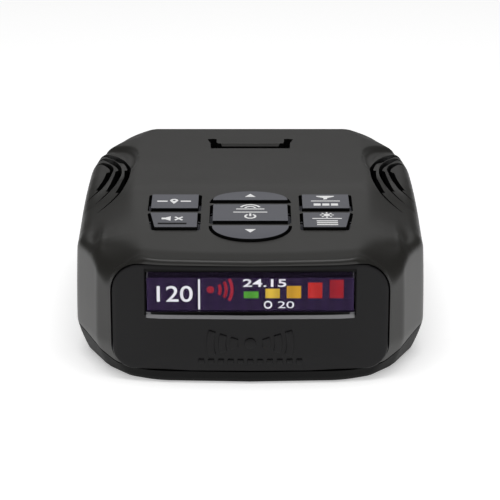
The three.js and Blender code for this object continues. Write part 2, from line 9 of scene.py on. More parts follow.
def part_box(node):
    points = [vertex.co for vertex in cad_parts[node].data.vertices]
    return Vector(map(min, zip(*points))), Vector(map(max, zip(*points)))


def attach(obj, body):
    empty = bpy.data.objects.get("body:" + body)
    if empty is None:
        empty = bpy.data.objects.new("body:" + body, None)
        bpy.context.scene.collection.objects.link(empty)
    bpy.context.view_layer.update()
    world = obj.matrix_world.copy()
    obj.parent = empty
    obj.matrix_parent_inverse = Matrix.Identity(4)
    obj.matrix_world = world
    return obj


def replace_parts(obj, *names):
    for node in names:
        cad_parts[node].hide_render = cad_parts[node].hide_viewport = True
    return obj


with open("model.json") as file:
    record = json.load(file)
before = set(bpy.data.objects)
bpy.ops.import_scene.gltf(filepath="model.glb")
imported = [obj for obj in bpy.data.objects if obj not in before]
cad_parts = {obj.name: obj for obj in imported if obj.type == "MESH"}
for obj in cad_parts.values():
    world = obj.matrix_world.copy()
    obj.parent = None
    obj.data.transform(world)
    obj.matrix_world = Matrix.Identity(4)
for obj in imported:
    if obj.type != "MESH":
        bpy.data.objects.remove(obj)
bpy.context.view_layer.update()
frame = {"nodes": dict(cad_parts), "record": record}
MM = 0.001


# ---------------------------------------------------------------- upper housing
# The upper shell: one ABS moulding, 2 mm thick, that carries the key plate, the roof, the shoulders with their sound
# grilles and the side walls. It hangs over the front panel as a thin visor and is screwed on from below.
# Sizes in this file are millimetres in the frame's axes until a point is placed, when they become metres.
HOUSING_WALL = 2.0
SEAM_GAP = 0.15
AROUND = 420

# Half of the outline at its widest, from the middle of the front to the middle of the back: x, y, rounding radius.
# Two flat facets turn each front corner.
WIDEST = [(0, -49.3, 0), (20, -48.8, 40), (28.2, -46.1, 2.2), (31.7, -42, 1.6), (36.8, -30.3, 9), (37.3, -12, 40),
          (37.4, 19, 60), (36.4, 34, 14), (30.6, 45.3, 14), (24.8, 49.9, 6), (0, 49.9, 0)]
# The same where the lower shell meets the table.
FOOT = [(0, -48.9, 0), (19, -48, 40), (25, -45.2, 5), (29.6, -39.6, 5), (34.4, -28.6, 10), (35, -12, 40),
        (35, 18, 60), (34, 32.4, 14), (28.8, 43, 14), (23.6, 47.8, 7), (0, 47.8, 0)]
# Heights and widths along the body, as y and value.
EDGE_HEIGHT = [(-50, 26.3), (-48.5, 26.2), (-47.3, 25.2), (-46.5, 24.0), (-46, 22.0), (-45.4, 20.9), (-44, 21.1),
               (-42, 22.4), (-40, 24.0), (-38.5, 24.9), (-36, 25.5), (-33, 25.4), (-25, 25.1), (-13, 25.6), (-6, 26.7),
               (1, 27.5), (8, 27.9), (20, 28.0), (30, 27.7), (35, 27.6), (41, 28.0), (46, 28.8), (50, 29.6)]
PLATE_HALF_WIDTH = [(-50, 20.6), (-46, 21.2), (-36, 22.9), (-14, 24.6), (8, 25.4), (38, 26), (50, 23)]
SEAM_HEIGHT = [(-50, 2.6), (-48, 2.65), (-45, 3.2), (-41, 5.1), (-35, 6.3), (-29, 6.9), (-10, 7.4), (50, 7.6)]

PLATE_TILT = math.radians(6.5)
PLATE_FRONT = (-46.0, 27.1)
CREASE_Y = -11.0
ROOF_REAR_Z = 30.0
VISOR_BOW = 240.0
VISOR_CREASE_Y = -46.4
VISOR_DROP = 0.117


def along(table, y):
    places, values = zip(*table)
    return np.interp(y, places, values)


def smooth(low, high, value):
    t = np.clip((value - low) / (high - low), 0, 1)
    return t * t * (3 - 2 * t)


# The lesser of two heights, with the corner where they cross rounded off.
def soft_least(a, b, softness):
    h = np.maximum(softness - np.abs(a - b), 0) / softness
    return np.minimum(a, b) - h * h * softness / 4


# A closed outline through mirrored half corners, each turned by an arc, as evenly spaced points.
def rounded_outline(half_corners, count):
    left = [(-x, y, r) for x, y, r in reversed(half_corners[1:-1])]
    corners = half_corners + left
    path = []
    for i, (x, y, radius) in enumerate(corners):
        here = np.array((x, y))
        before = np.array(corners[i - 1][:2]) - here
        after = np.array(corners[(i + 1) % len(corners)][:2]) - here
        length_before, length_after = np.linalg.norm(before), np.linalg.norm(after)
        before, after = before / length_before, after / length_after
        turn = math.pi - math.acos(np.clip(before @ after, -1, 1))
        if radius == 0 or turn < 1e-4:
            path.append(here)
            continue
        reach = min(radius * math.tan(turn / 2), 0.45 * length_before, 0.45 * length_after)
        start, end = here + before * reach, here + after * reach
        for t in np.linspace(0, 1, 14):
            path.append((1 - t) ** 2 * start + 2 * t * (1 - t) * here + t ** 2 * end)
    path = np.array(path + path[:1])
    travelled = np.concatenate(([0], np.cumsum(np.linalg.norm(np.diff(path, axis=0), axis=1))))
    wanted = np.linspace(0, travelled[-1], count, endpoint=False)
    return np.stack([np.interp(wanted, travelled, path[:, k]) for k in (0, 1)], axis=1)


# The outline moved inwards along its own normals.
def drawn_in(outline, inset):
    run = np.roll(outline, -1, axis=0) - np.roll(outline, 1, axis=0)
    run /= np.linalg.norm(run, axis=1)[:, None]
    inward = np.stack([-run[:, 1], run[:, 0]], axis=1)
    return outline + inward * np.reshape(inset, (-1, 1))


def half_width(y):
    right = WIDEST_POINTS[: AROUND // 2]
    order = np.argsort(right[:, 1])
    return np.interp(y, right[order, 1], right[order, 0])


# A long dent or ridge on the surface: its place, how far it spreads and its height.
VALLEY = {"x": 33.0, "y": -33.5, "wide": 1.6, "long": 5.5, "height": -0.8}
RIDGE = {"x": 30.9, "y": -35, "wide": 0.4, "long": 5.0, "height": 0.3}
CREASE_SOFTNESS = 0.35


def swelling(out, y, at):
    return at["height"] * np.exp(-((out - at["x"]) / at["wide"]) ** 2 - ((y - at["y"]) / at["long"]) ** 2)


# The height of the top: the tilted key plate with its steeper visor, the crowned roof behind the crease, the
# shoulders that fall to the side walls, the hollows at the front corners and the sunken ground of the grilles.
def top_height(x, y):
    out = np.abs(x)
    plate = PLATE_FRONT[1] + (y - PLATE_FRONT[0]) * math.tan(PLATE_TILT)
    crease_z = PLATE_FRONT[1] + (CREASE_Y - PLATE_FRONT[0]) * math.tan(PLATE_TILT)
    back = (y - CREASE_Y) / (50 - CREASE_Y)
    roof = crease_z + 0.1 + 0.5 * back - (crease_z + 0.6 - ROOF_REAR_Z) * np.clip(back, 0, 1) ** 2
    middle = soft_least(plate, roof, CREASE_SOFTNESS)
    bowed_y = y - out ** 2 / VISOR_BOW
    middle = middle - VISOR_DROP * np.maximum(VISOR_CREASE_Y - bowed_y, 0)
    plate_edge = along(PLATE_HALF_WIDTH, y)
    width = np.maximum(half_width(y), plate_edge + 1)
    across = np.clip((out - plate_edge) / (width - plate_edge), 0, 1)
    rounded = (np.sqrt(across ** 2 + 0.01) - 0.1) / (math.sqrt(1.01) - 0.1)
    steep = smooth(-26, -40, y)
    surface = middle + (along(EDGE_HEIGHT, y) - middle) * (rounded + (across ** 1.7 - rounded) * steep)
    return surface + swelling(out, y, VALLEY) + swelling(out, y, RIDGE) - grille_sink(out, y)


# How far the ground round each grille lies below the shoulder: deepest just inside its rear and inner edge. The ground
# is half an oval in plan, longer to the front.
GROUND_X, GROUND_Y = 38.5, 16
GROUND_WIDE, GROUND_BACK, GROUND_FRONT = 12.5, 21.0, 30.0
MOAT_DEPTH, SHELF_RISE = 1.1, 0.75


def grille_sink(out, y):
    long = np.where(y > GROUND_Y, GROUND_BACK, GROUND_FRONT)
    reach = np.hypot((out - GROUND_X) / GROUND_WIDE, (y - GROUND_Y) / long)
    moat = smooth(1.02, 0.93, reach) * smooth(-12, 10, y)
    shelf = smooth(0.86, 0.74, reach)
    return moat * (MOAT_DEPTH - SHELF_RISE * shelf) * (1 - 0.6 * smooth(32, 36, out))


# A ring round the body: the outline drawn in and set at height z. High up at the front it bows out as the visor.
VISOR_REACH = 0.7
VISOR_HALF = 22


def wall_point(outline, inset, z):
    ring = drawn_in(outline, inset)
    bow = np.clip(1 - (ring[:, 0] / VISOR_HALF) ** 2, 0, 1)
    bulge = VISOR_REACH * bow * (ring[:, 1] < -40) * smooth(24.4, 25.2, z)
    return np.column_stack([ring[:, 0], ring[:, 1] - bulge, z])


# The outline of the side at height z, which tucks in towards the foot.
def side_outline(z):
    foot_share = np.clip(1 - z / 7.5, 0, 1) ** 1.3
    return WIDEST_POINTS + (FOOT_POINTS - WIDEST_POINTS) * np.reshape(foot_share, (-1, 1))


WIDEST_POINTS = rounded_outline(WIDEST, AROUND)
FOOT_POINTS = rounded_outline(FOOT, AROUND)
# The cavity follows a smoother outline than the outside, so that its corners stay open.
CAVITY_POINTS = rounded_outline([(x, y, max(r, 7)) for x, y, r in WIDEST], AROUND)


# Rings of the skin that lies wall mm inside the surface, from the seam up over the rolled edge to the middle of the
# top. steps is how many rings the side, the roll and the top get.
def skin_rings(outline, wall, steps):
    x, y = outline.T
    front = smooth(-40, -46, y)
    visor = smooth(28, 22, np.abs(x)) * smooth(-43, -46.5, y)
    roll = 2.6 - 0.9 * smooth(-30, -39, y) - 1.0 * visor
    lean = wall + 0.35 * (1 - front)
    level = np.full(AROUND, 26.0)
    edge = wall_point(outline, lean, level)
    corner = top_height(edge[:, 0], edge[:, 1]) - wall
    seam = along(SEAM_HEIGHT, y) + SEAM_GAP
    rings = []
    for share in np.linspace(0, 1, steps[0]):
        z = seam + (corner - roll - seam) * share
        shift = (side_outline(z) - WIDEST_POINTS) * (1 if wall == 0 else 0.8)
        rings.append(wall_point(outline + shift, wall + (lean - wall) * share ** 2, z))
    landing = wall_point(outline, lean + roll, level)
    land_z = top_height(landing[:, 0], landing[:, 1]) - wall
    for t in np.linspace(0, 1, steps[1])[1:]:
        ring = wall_point(outline, lean + roll * t * t, level)
        ring[:, 2] = (1 - t) ** 2 * (corner - roll) + 2 * t * (1 - t) * corner + t * t * land_z
        rings.append(ring)
    for share in np.linspace(1, 0, steps[2])[1:]:
        ring = landing * share
        ring[:, 2] = top_height(ring[:, 0], ring[:, 1]) - wall
        rings.append(ring)
    return rings


def deselect():
    if bpy.context.object and bpy.context.object.mode != "OBJECT":
        bpy.ops.object.mode_set(mode="OBJECT")
    bpy.ops.object.select_all(action="DESELECT")


# A sleeve: a grid as wide as the rings are round and as tall as there are rings, wrapped on to them and stitched.
def sleeve(name, rings):
    deselect()
    around, tall = len(rings[0]), len(rings) - 1
    bpy.ops.mesh.primitive_grid_add(x_subdivisions=around, y_subdivisions=tall, size=1)
    piece = bpy.context.object
    piece.name = piece.data.name = name
    places = np.empty(len(piece.data.vertices) * 3)
    piece.data.vertices.foreach_get("co", places)
    places = places.reshape(-1, 3)
    column = np.rint((places[:, 0] + 0.5) * around).astype(int) % around
    row = np.rint((places[:, 1] + 0.5) * tall).astype(int)
    wrapped = np.array(rings)[row, column] * MM
    piece.data.vertices.foreach_set("co", wrapped.ravel())
    bpy.ops.object.mode_set(mode="EDIT")
    bpy.ops.mesh.select_all(action="SELECT")
    bpy.ops.mesh.remove_doubles(threshold=1e-7)
    bpy.ops.object.mode_set(mode="OBJECT")
    return piece


def apply_modifier(piece, kind, **settings):
    deselect()
    bpy.context.view_layer.objects.active = piece
    piece.select_set(True)
    modifier = piece.modifiers.new(kind, kind)
    for setting, value in settings.items():
        setattr(modifier, setting, value)
    bpy.ops.object.modifier_apply(modifier=modifier.name)


# Cuts the piece by the cutter. The new faces get the cutter's material, or the piece's own if it has none.
def cut(piece, cutter):
    transfer = "TRANSFER" if cutter.data.materials else "INDEX"
    apply_modifier(piece, "BOOLEAN", object=cutter, operation="DIFFERENCE", solver="EXACT", material_mode=transfer)
    bpy.data.objects.remove(cutter)


def joined(pieces):
    deselect()
    for piece in pieces:
        piece.select_set(True)
    bpy.context.view_layer.objects.active = pieces[0]
    bpy.ops.object.join()
    return pieces[0]


# A flat outline, given as closed runs of points, filled and made into a solid plate between z0 and z1, then placed.
def plate_of(name, runs, z0, z1, place=Matrix()):
    deselect()
    curve = bpy.data.curves.new(name, "CURVE")
    curve.dimensions = "2D"
    curve.fill_mode = "BOTH"
    curve.extrude = (z1 - z0) / 2 * MM
    for run in runs:
        spline = curve.splines.new("POLY")
        spline.points.add(len(run) - 1)
        spline.use_cyclic_u = True
        for point, (x, y) in zip(spline.points, run):
            point.co = (x * MM, y * MM, 0, 1)
    drawn = bpy.data.objects.new(name, curve)
    bpy.context.collection.objects.link(drawn)
    drawn.select_set(True)
    bpy.context.view_layer.objects.active = drawn
    bpy.ops.object.convert(target="MESH")
    piece = bpy.context.object
    bpy.ops.object.mode_set(mode="EDIT")
    bpy.ops.mesh.select_all(action="SELECT")
    bpy.ops.mesh.remove_doubles(threshold=1e-7)
    bpy.ops.mesh.normals_make_consistent(inside=False)
    bpy.ops.object.mode_set(mode="OBJECT")
    piece.data.transform(place @ Matrix.Translation((0, 0, (z0 + z1) / 2 * MM)))
    piece.data.update()
    return piece


def arc(x, y, radius, start, end, steps=8):
    angles = np.radians(np.linspace(start, end, steps + 1))
    return [(x + radius * math.cos(a), y + radius * math.sin(a)) for a in angles]


def rounded_box(x0, x1, y0, y1, low_radius, high_radius=None, steps=8):
    high_radius = low_radius if high_radius is None else high_radius
    return (arc(x1 - low_radius, y0 + low_radius, low_radius, -90, 0, steps)
            + arc(x1 - high_radius, y1 - high_radius, high_radius, 0, 90, steps)
            + arc(x0 + high_radius, y1 - high_radius, high_radius, 90, 180, steps)
            + arc(x0 + low_radius, y0 + low_radius, low_radius, 180, 270, steps))


# Points drawn on the key plate, x across and s up its slope, stand this way in the frame.
ON_PLATE = Matrix.Translation((0, PLATE_FRONT[0] * MM, PLATE_FRONT[1] * MM)) @ Matrix.Rotation(PLATE_TILT, 4, "X")
# Points drawn as x and z on an upright face stand this way, with the plate's own z running out along -Y.
UPRIGHT = Matrix.Rotation(math.radians(90), 4, "X")


def linear(hex_colour):
    channels = [int(hex_colour[i:i + 2], 16) / 255 for i in (1, 3, 5)]
    return (*[c / 12.92 if c <= 0.04045 else ((c + 0.055) / 1.055) ** 2.4 for c in channels], 1.0)


def new_material(name):
    material = bpy.data.materials.new(name)
    material.use_nodes = True
    material.node_tree.nodes.clear()
    return material


def add_node(material, kind, inputs=None, **settings):
    node = material.node_tree.nodes.new("ShaderNode" + kind)
    for setting, value in settings.items():
        setattr(node, setting, value)
    for socket, value in (inputs or {}).items():
        if isinstance(value, bpy.types.NodeSocket):
            material.node_tree.links.new(value, node.inputs[socket])
        else:
            node.inputs[socket].default_value = value
    return node


# Moulded plastic: the tool's spark-eroded texture gives a fine pebble that breaks the highlight up, and the tone and
# gloss drift a little over the piece. grain is the pebbles' size and depth their height, in mm.
def moulded_plastic(name, colour, roughness, grain, depth, ior=1.5, shine=0.5):
    material = new_material(name)
    place = add_node(material, "TexCoord").outputs["Object"]
    drift = add_node(material, "TexNoise", {"Vector": place, "Scale": 90.0, "Detail": 3.0})
    pebble = add_node(material, "TexNoise", {"Vector": place, "Scale": 1 / (grain * MM), "Detail": 4.0,
                                             "Roughness": 0.6})
    tone = add_node(material, "Mix", {"Factor": drift.outputs["Fac"]}, data_type="RGBA")
    base = linear(colour)
    tone.inputs["A"].default_value = (*[c * 0.9 for c in base[:3]], 1)
    tone.inputs["B"].default_value = (*[c * 1.1 for c in base[:3]], 1)
    gloss = add_node(material, "MapRange", {"Value": drift.outputs["Fac"], "To Min": roughness - 0.03,
                                            "To Max": roughness + 0.03})
    bump = add_node(material, "Bump", {"Height": pebble.outputs["Fac"], "Distance": depth * MM, "Strength": 1.0})
    surface = add_node(material, "BsdfPrincipled", {
        "Base Color": tone.outputs["Result"], "Roughness": gloss.outputs["Result"], "IOR": ior,
        "Specular IOR Level": shine, "Normal": bump.outputs["Normal"]})
    add_node(material, "OutputMaterial", {"Surface": surface.outputs["BSDF"]})
    return material


# Smooths a finished piece but for its sharp edges, and says what body it rides on.
EDGE_ANGLE = 32


def finished(piece, body, angle=25):
    deselect()
    bpy.context.view_layer.objects.active = piece
    piece.select_set(True)
    bpy.ops.object.shade_smooth_by_angle(angle=math.radians(angle))
    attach(piece, body)
    return piece


# The outside is warm grey paint. The cut faces of every opening get black as painted shade inside the gaps; the same
# black is also the real colour of the lower tray, the key flanges and the mute key's bar.
grey_paint = moulded_plastic("soft_touch_paint_warm_grey", "#1f1e1b", 0.42, 0.22, 0.012)
black_abs_and_shade = moulded_plastic("moulded_abs_black_and_painted_shade", "#050505", 0.6, 0.22, 0.01, shine=0.2)

inside = skin_rings(CAVITY_POINTS, HOUSING_WALL, (4, 4, 16))
outside = skin_rings(WIDEST_POINTS, 0.0, (22, 9, 68))
upper = sleeve("upper_housing_shell", inside[::-1] + outside)
upper.data.materials.append(grey_paint)
upper.data.materials.append(black_abs_and_shade)

# The front panel's opening.
PANEL_HALF = 28.4
PANEL_LOW, PANEL_HIGH = 2.5, 25.2
PANEL_GAP = 0.12


def panel_outline(grow):
    return rounded_box(-PANEL_HALF - grow, PANEL_HALF + grow, PANEL_LOW - grow, PANEL_HIGH + grow,
                       4.5 + grow, 6.5 + grow, 12)


cut(upper, plate_of("panel_way", [panel_outline(PANEL_GAP)], 40, 60, UPRIGHT))

# The key openings, drawn on the plate: two keys on each side, and between them an arrow key above and below the power
# key. Each outline can be grown, for the flanges, or shrunk, for the caps.
SIDE_INNER, SIDE_OUTER = 10.4, 21.8
KEY_RADIUS = 0.7
LEAST_RADIUS = 0.15
ARROW_HALF = 8.7
POWER_HALF = 8.6


def side_key(side, s0, s1, taper, grow):
    corners = [(SIDE_INNER - grow, s0 - grow), (SIDE_OUTER + grow - taper, s0 - grow),
               (SIDE_OUTER + grow, s1 + grow), (SIDE_INNER - grow, s1 + grow)]
    run = rounded_polygon(corners, max(KEY_RADIUS + grow, LEAST_RADIUS))
    return [(side * x, s) for x, s in run]


def rounded_polygon(corners, radius, steps=6):
    run = []
    for i, corner in enumerate(corners):
        here = Vector(corner)
        before = (Vector(corners[i - 1]) - here).normalized()
        after = (Vector(corners[(i + 1) % len(corners)]) - here).normalized()
        reach = radius / math.tan(before.angle(after) / 2)
        for t in [k / steps for k in range(steps + 1)]:
            start, end = here + before * reach, here + after * reach
            point = (1 - t) ** 2 * start + 2 * t * (1 - t) * here + t ** 2 * end
            run.append((point.x, point.y))
    return run


def arrow_key(s0, s1, grow):
    sign = 1 if s1 > s0 else -1
    half = ARROW_HALF + grow
    base, peak = s0 - sign * grow, s1 + sign * grow
    run = []
    for i in range(33):
        side = math.cos(math.pi * i / 32)
        run.append((half * side, base + (peak - base) * (1 - side * side) ** 0.46))
    return run


KEYS = {
    "mark": lambda grow: side_key(-1, 21.6, 30.8, 0, grow),
    "mute": lambda grow: side_key(-1, 11.3, 20.6, 1.2, grow),
    "up": lambda grow: arrow_key(26.2, 32.6, grow),
    "power": lambda grow: rounded_box(-POWER_HALF - grow, POWER_HALF + grow, 14.7 - grow, 25.2 + grow,
                                      max(KEY_RADIUS + grow, LEAST_RADIUS)),
    "down": lambda grow: arrow_key(13.7, 5.1, grow),
    "filter": lambda grow: side_key(1, 21.6, 30.8, 0, grow),
    "menu": lambda grow: side_key(1, 11.3, 20.6, 1.2, grow),
}
ways = [plate_of("key_way", [outline(0)], -8, 4, ON_PLATE) for outline in KEYS.values()]

# The bracket slot: a bar across with two arms back beside its tongue, whose front edge is rolled down.
SLOT_FRONT, TONGUE_FRONT, SLOT_BACK = 24.7, 29.0, 35.3
slot_half = [(9.3, SLOT_FRONT), (9.5, 30.6), (10.3, SLOT_BACK - 0.5), (9.0, SLOT_BACK), (8.1, SLOT_BACK - 0.3),
             (8.0, 31.2), (7.7, 30.2), (7.1, 30.2), (6.7, TONGUE_FRONT)]
slot_run = slot_half + [(-x, y) for x, y in reversed(slot_half)]
ways.append(plate_of("bracket_way", [slot_run], 24, 36))

# The openings of the three sockets in the left wall and of the laser lens in the rear wall.
ALONG_X = Matrix(((0, 0, 1, 0), (1, 0, 0, 0), (0, 1, 0, 0), (0, 0, 0, 1)))
SOCKET_CLEARANCE = 0.2
power_low, power_high = (-1.6, 9.9), (9.6, 17.5)
usb_low, usb_high = (-17.7, 9.4), (-10.3, 11.8)
for low, high, radius in ((power_low, power_high, 0.8), (usb_low, usb_high, 0.6)):
    run = rounded_box(low[0] - SOCKET_CLEARANCE, high[0] + SOCKET_CLEARANCE, low[1] - SOCKET_CLEARANCE,
                      high[1] + SOCKET_CLEARANCE, radius)
    ways.append(plate_of("socket_way", [run], -45, -30, ALONG_X))
ways.append(plate_of("socket_way", [arc(17, 11.2, 2.8, 0, 350, 35)], -45, -30, ALONG_X))
ways.append(plate_of("lens_way", [rounded_box(9.1, 20.9, 10.6, 19.9, 1.0)], -60, -44, UPRIGHT))
openings = joined(ways)
# The cut faces of the openings take this black: painted shade.
openings.data.materials.append(black_abs_and_shade)
cut(upper, openings)
LIP_BACK = 30.0
LIP_LENGTH, LIP_DROP = 2.4, 1.1
lip_z = float(top_height(0, LIP_BACK))
lip_run = [(LIP_BACK - LIP_LENGTH, lip_z - LIP_DROP), (LIP_BACK, lip_z), (LIP_BACK, lip_z + 1),
           (LIP_BACK - LIP_LENGTH, lip_z + 1)]
cut(upper, plate_of("lip_way", [lip_run], -6.9, 6.9, ALONG_X))


# A curved band through points given as x, y and half its width there. Between the two stations of slot, counted in
# points, it widens on the side that faces the side wall.
SLOT_REACH = 1.15


def ribbon(points, slot, side):
    x, y, half = np.array(points).T
    station = np.linspace(0, len(points) - 1, 8 * len(points))
    i = np.minimum(station.astype(int), len(points) - 2)
    t = station - i
    curve = []
    for values in (x, y):
        grown = np.concatenate(([2 * values[0] - values[1]], values, [2 * values[-1] - values[-2]]))
        p0, p1, p2, p3 = (grown[i + k] for k in range(4))
        curve.append(0.5 * (2 * p1 + (p2 - p0) * t + (2 * p0 - 5 * p1 + 4 * p2 - p3) * t ** 2
                            + (3 * p1 - p0 - 3 * p2 + p3) * t ** 3))
    run = np.gradient(np.array(curve), axis=1)
    run /= np.linalg.norm(run, axis=0)
    near = np.interp(station, np.arange(len(points)), half)
    far = np.where((station > slot[0]) & (station < slot[1]), SLOT_REACH, near)
    outer = np.stack([curve[0] - run[1] * far, curve[1] + run[0] * far], axis=1)
    inner = np.stack([curve[0] + run[1] * near, curve[1] - run[0] * near], axis=1)
    return [(side * float(px), float(py)) for px, py in (*outer, *inner[::-1])]


# Each grille is three nested arcs that sweep back to the side wall and run forward to a point, and each arc widens to
# a sound slot in its middle.
ARCS = [
    ([(36.6, 29.5, 0.5), (35.4, 28.7, 0.6), (33.9, 27.2, 0.7), (31.8, 22.2, 0.75), (29.9, 16.7, 0.7),
      (28.3, 13.0, 0.5), (27.5, 8.0, 0.35), (27.3, 0.0, 0.35), (27.7, -5.5, 0.35), (28.6, -10.6, 0.3),
      (29.9, -13.4, 0.26), (31.4, -15.6, 0.2), (33.0, -17.6, 0.05)], (5.8, 8.9)),
    ([(36.8, 25.6, 0.45), (35.7, 24.9, 0.55), (34.0, 23.2, 0.65), (32.1, 18.4, 0.7), (30.4, 12.7, 0.5),
      (29.6, 8.0, 0.35), (29.7, 4.0, 0.35), (30.2, -1.0, 0.35), (31.0, -6.0, 0.3), (32.2, -9.0, 0.24),
      (33.8, -11.4, 0.05)], (4.9, 8.0)),
    ([(36.0, 20.0, 0.4), (34.5, 19.2, 0.5), (32.9, 16.0, 0.6), (31.8, 11.6, 0.45), (31.8, 7.6, 0.35),
      (32.3, 2.0, 0.35), (33.3, -2.6, 0.3), (34.6, -5.2, 0.2), (36.0, -7.0, 0.05)], (3.5, 6.1)),
]
GRILLE_BOTTOM = 23.5
grille = joined([plate_of("grille_way", [ribbon(points, slot, side)], GRILLE_BOTTOM, 40)
                 for points, slot in ARCS for side in (-1, 1)])
# The cut faces of the grille slots take it too: painted shade.
grille.data.materials.append(black_abs_and_shade)
cut(upper, grille)
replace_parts(finished(upper, "root", EDGE_ANGLE), "upper_housing")


# ---------------------------------------------------------------- lower housing
# The lower shell: a tray of the same ABS in near black that closes the case from below. Only its tucked-in rim shows
# under the side walls, along a seam that rises from the front to the sides.
FOOT_ROLL = 0.9


def tray_side(outline, inset, low):
    seam = along(SEAM_HEIGHT, WIDEST_POINTS[:, 1]) - SEAM_GAP
    rings = []
    for share in np.linspace(0, 1, 10):
        z = low + (seam - low) * share
        shift = side_outline(z) - WIDEST_POINTS
        rings.append(wall_point(outline + shift, inset, z))
    return rings


def tray_rings():
    outside = tray_side(WIDEST_POINTS, 0.0, FOOT_ROLL)
    rim = []
    for t in np.linspace(1, 0, 6)[:-1]:
        turn = t * math.pi / 2
        z = np.full(AROUND, FOOT_ROLL * (1 - math.sin(turn)))
        rim.append(wall_point(FOOT_POINTS, FOOT_ROLL * (1 - math.cos(turn)), z))
    under = [rim[0] * (share, share, 1) for share in (0, 0.3, 0.6, 0.9)]
    inside = tray_side(CAVITY_POINTS, HOUSING_WALL, HOUSING_WALL)[::-1]
    floor = [inside[-1] * (share, share, 1) for share in (0.9, 0.6, 0.3, 0)]
    return under + rim + outside + inside + floor


lower = sleeve("lower_housing_tray", tray_rings())
cut(lower, plate_of("panel_way", [panel_outline(PANEL_GAP)], 40, 60, UPRIGHT))
# Underneath there is a pocket for the label and a counterbore for each case screw.
LABEL_GAP = 0.3
POCKET_DEPTH = 0.5
COUNTERBORE_RADIUS, COUNTERBORE_DEPTH = 2.8, 1.92
label_low, label_high = (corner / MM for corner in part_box("rating_label"))
pocket_run = rounded_box(label_low.x - LABEL_GAP, label_high.x + LABEL_GAP, label_low.y - LABEL_GAP,
                         label_high.y + LABEL_GAP, 0.5)
under_ways = [plate_of("under_way", [pocket_run], -1, POCKET_DEPTH)]
for k in range(4):
    screw_low, screw_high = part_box(f"case_screw_{k + 1}")
    middle = (screw_low + screw_high) / 2 / MM
    bore_run = arc(middle.x, middle.y, COUNTERBORE_RADIUS, 0, 345, 23)
    under_ways.append(plate_of("under_way", [bore_run], -1, COUNTERBORE_DEPTH))
cut(lower, joined(under_ways))
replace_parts(finished(lower, "root", EDGE_ANGLE), "lower_housing")
lower.data.materials.append(black_abs_and_shade)


# ---------------------------------------------------------------- front panel
# The display bezel: a separate satin black moulding clipped into the front of the upper shell and set back under its
# visor, with a shallow recess round the window and a bevelled ledge below it.
PANEL_WALL = 2.2
PANEL_SET_BACK = 0.25
WINDOW_HALF = 21.2
RECESS_Y = -47.6
RECESS_LOW, RECESS_HIGH = 14.4, 24.2
LEDGE_RISE = 0.6
# The bow of the face in plan is that of the body's outline.
right_front = WIDEST_POINTS[np.abs(WIDEST_POINTS[:, 1] + 45) < 6]
right_front = right_front[right_front[:, 0] > 0]
right_front = right_front[np.argsort(right_front[:, 0])]


def panel_face_y(x):
    return np.interp(np.abs(x), right_front[:, 0], right_front[:, 1]) + PANEL_SET_BACK


# Rings from the middle of the back out to the rim, round the rolled edge and in again over the face.
def panel_rings():
    outline = np.array(panel_outline(0))
    middle = np.array([0.0, (PANEL_LOW + PANEL_HIGH) / 2])
    spread = np.repeat(outline, 4, axis=0)
    for k in range(1, 4):
        following = np.roll(outline, -1, axis=0)
        spread[k::4] = outline + (following - outline) * k / 4
    rings = []
    for share in np.linspace(0, 1, 12)[:-1]:
        run = middle + (spread - middle) * share
        rings.append(np.column_stack([run[:, 0], panel_face_y(run[:, 0]) + PANEL_WALL, run[:, 1]]))
    for depth, inset in ((PANEL_WALL, 0), (0.5, 0), (0.2, 0.06), (0.05, 0.2), (0, 0.45)):
        run = drawn_in(spread, inset)
        rings.append(np.column_stack([run[:, 0], panel_face_y(run[:, 0]) + depth, run[:, 1]]))
    for share in np.linspace(1, 0, 40)[1:]:
        run = middle + (drawn_in(spread, 0.45) - middle) * share
        rings.append(np.column_stack([run[:, 0], panel_face_y(run[:, 0]), run[:, 1]]))
    return rings


panel = sleeve("front_panel_bezel", panel_rings())
panel.data.materials.append(moulded_plastic("satin_abs_black", "#0a090b", 0.38, 0.16, 0.004, shine=0.25))
panel.data.materials.append(black_abs_and_shade)
# The recess is cut by a bar, and the ledge by a thin one that follows the bow of the face and slopes up into it. The
# recess's cut faces are black as painted shade.
recess_run = [(-60, RECESS_LOW), (RECESS_Y, RECESS_LOW), (RECESS_Y, RECESS_HIGH), (-60, RECESS_HIGH)]
recess_way = plate_of("recess_way", [recess_run], -WINDOW_HALF - 0.3, WINDOW_HALF + 0.3, ALONG_X)
recess_way.data.materials.append(black_abs_and_shade)
cut(panel, recess_way)
# Its section: depth behind the face and height over the recess's floor.
ledge_section = [(-LEDGE_RISE, -2 * LEDGE_RISE), (LEDGE_RISE, 0), (LEDGE_RISE, 0.5), (-LEDGE_RISE, 0.5)]
ledge_rings = [np.array([(x, panel_face_y(x) + depth, RECESS_LOW + height) for depth, height in ledge_section])
               for x in np.linspace(-WINDOW_HALF, WINDOW_HALF, 23)]
ledge_ends = [np.tile(ring.mean(axis=0), (4, 1)) for ring in (ledge_rings[0], ledge_rings[-1])]
ledge_way = sleeve("ledge_way", [ledge_ends[0], *ledge_rings, ledge_ends[1]])
# The ledge's cut faces get a lighter, glossier grey than the bezel: a painted highlight on the bevel.
ledge_way.data.materials.append(moulded_plastic("ledge_painted_highlight_grey", "#4a4a4f", 0.3, 0.3, 0.001, shine=1.0))
cut(panel, ledge_way)
window_way = plate_of("window_way", [rounded_box(-21.3, 21.3, 14.85, 23.5, 0.4)], 40, 60, UPRIGHT)
# The window opening's cut faces are black too: painted shade.
window_way.data.materials.append(black_abs_and_shade)
cut(panel, window_way)
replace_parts(finished(panel, "root", EDGE_ANGLE), "front_panel")


